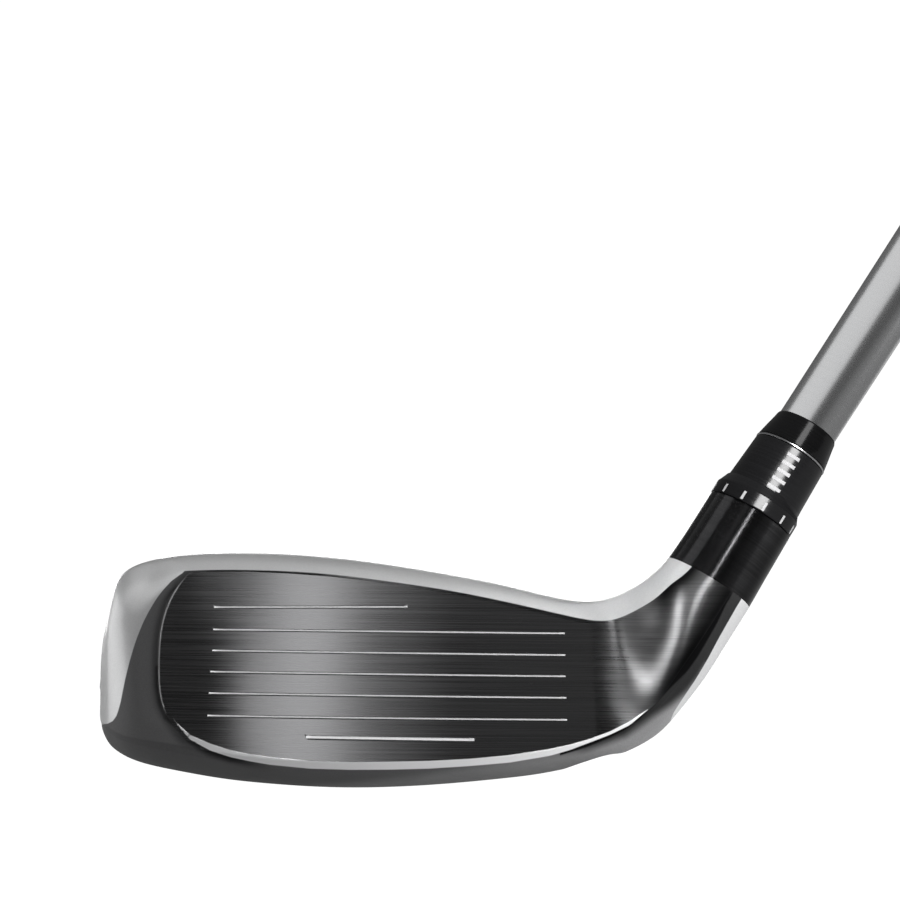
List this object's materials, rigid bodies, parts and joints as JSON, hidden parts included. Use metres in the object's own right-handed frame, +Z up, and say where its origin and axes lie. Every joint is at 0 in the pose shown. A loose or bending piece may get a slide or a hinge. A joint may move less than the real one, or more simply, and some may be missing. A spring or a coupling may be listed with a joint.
{
  "type": "hybrid golf club",
  "caption": "Adjustable hybrid golf club: hollow steel head with brushed face, loft sleeve held by a sole screw, sliding sole weight, tapered shaft and rubber grip.",
  "frame": {"origin": "centre of the small flat on the sole that the head rests on in its address position", "axes": "+Z up from the ground, -Y the way the face looks, +X from the toe towards the heel and grip"},
  "size_m": [0.6484, 0.062, 0.8584],
  "materials": {
    "head_body": "cast steel, satin silver crown and dark satin toe and sole",
    "face_plate": "horizontally brushed, blackened, fine scoring lines",
    "crown_panel": "woven composite inlay, satin clear coat",
    "rear_badge": "blank brushed badge",
    "slot_insert": "moulded flexible insert",
    "toe_weight": "sintered dense slug",
    "weight_slider": "machined, brushed",
    "weight_clamp": "machined",
    "weight_screw": "blackened steel, hex socket",
    "loft_sleeve": "black anodised, twelve white index ticks",
    "trim_ring": "thin polished ring",
    "ferrule": "black gloss",
    "sleeve_screw": "blackened steel, hex socket",
    "screw_washer": "plain steel",
    "screw_retainer": "natural nylon",
    "shaft": "composite tube, metallic grey lacquer",
    "tip_plug": "turned",
    "grip_tape": "double-sided paper tape",
    "grip": "moulded rubber, patterned",
    "grip_cap": "moulded cap with vent hole"
  },
  "bodies": {
    "head": {"head_body": "head_body", "face_plate": "face_plate", "crown_panel": "crown_panel", "rear_badge": "rear_badge", "slot_insert": "slot_insert", "toe_weight": "toe_weight"},
    "washer": {"screw_washer": "screw_washer"},
    "sleeve": {"loft_sleeve": "loft_sleeve", "trim_ring": "trim_ring", "ferrule": "ferrule", "shaft": "shaft", "tip_plug": "tip_plug", "grip_tape": "grip_tape", "grip": "grip", "grip_cap": "grip_cap"},
    "screw": {"sleeve_screw": "sleeve_screw", "screw_retainer": "screw_retainer"},
    "weight": {"weight_slider": "weight_slider", "weight_clamp": "weight_clamp"},
    "weight_bolt": {"weight_screw": "weight_screw"}
  },
  "joints": [
    {"name": "sleeve_turn", "type": "hinge", "parent": "head", "child": "washer", "pos_m": [0.033, -0.0138, -0.00015], "axis": [0.5339, 0, 0.8455], "range_deg": [-180, 180]},
    {"name": "sleeve_lift", "type": "slide", "parent": "washer", "child": "sleeve", "axis": [0.5339, 0, 0.8455], "range_m": [0, 0.04]},
    {"name": "screw_turn", "type": "hinge", "parent": "head", "child": "screw", "pos_m": [0.033, -0.0138, -0.00015], "axis": [0.5339, 0, 0.8455], "continuous": true},
    {"name": "weight_slide", "type": "slide", "parent": "head", "child": "weight", "axis": [1, 0, 0], "range_m": [-0.013, 0.013]},
    {"name": "weight_screw_turn", "type": "hinge", "parent": "weight", "child": "weight_bolt", "pos_m": [-0.002, 0.0062, 0], "axis": [0, 0, 1], "continuous": true}
  ]
}
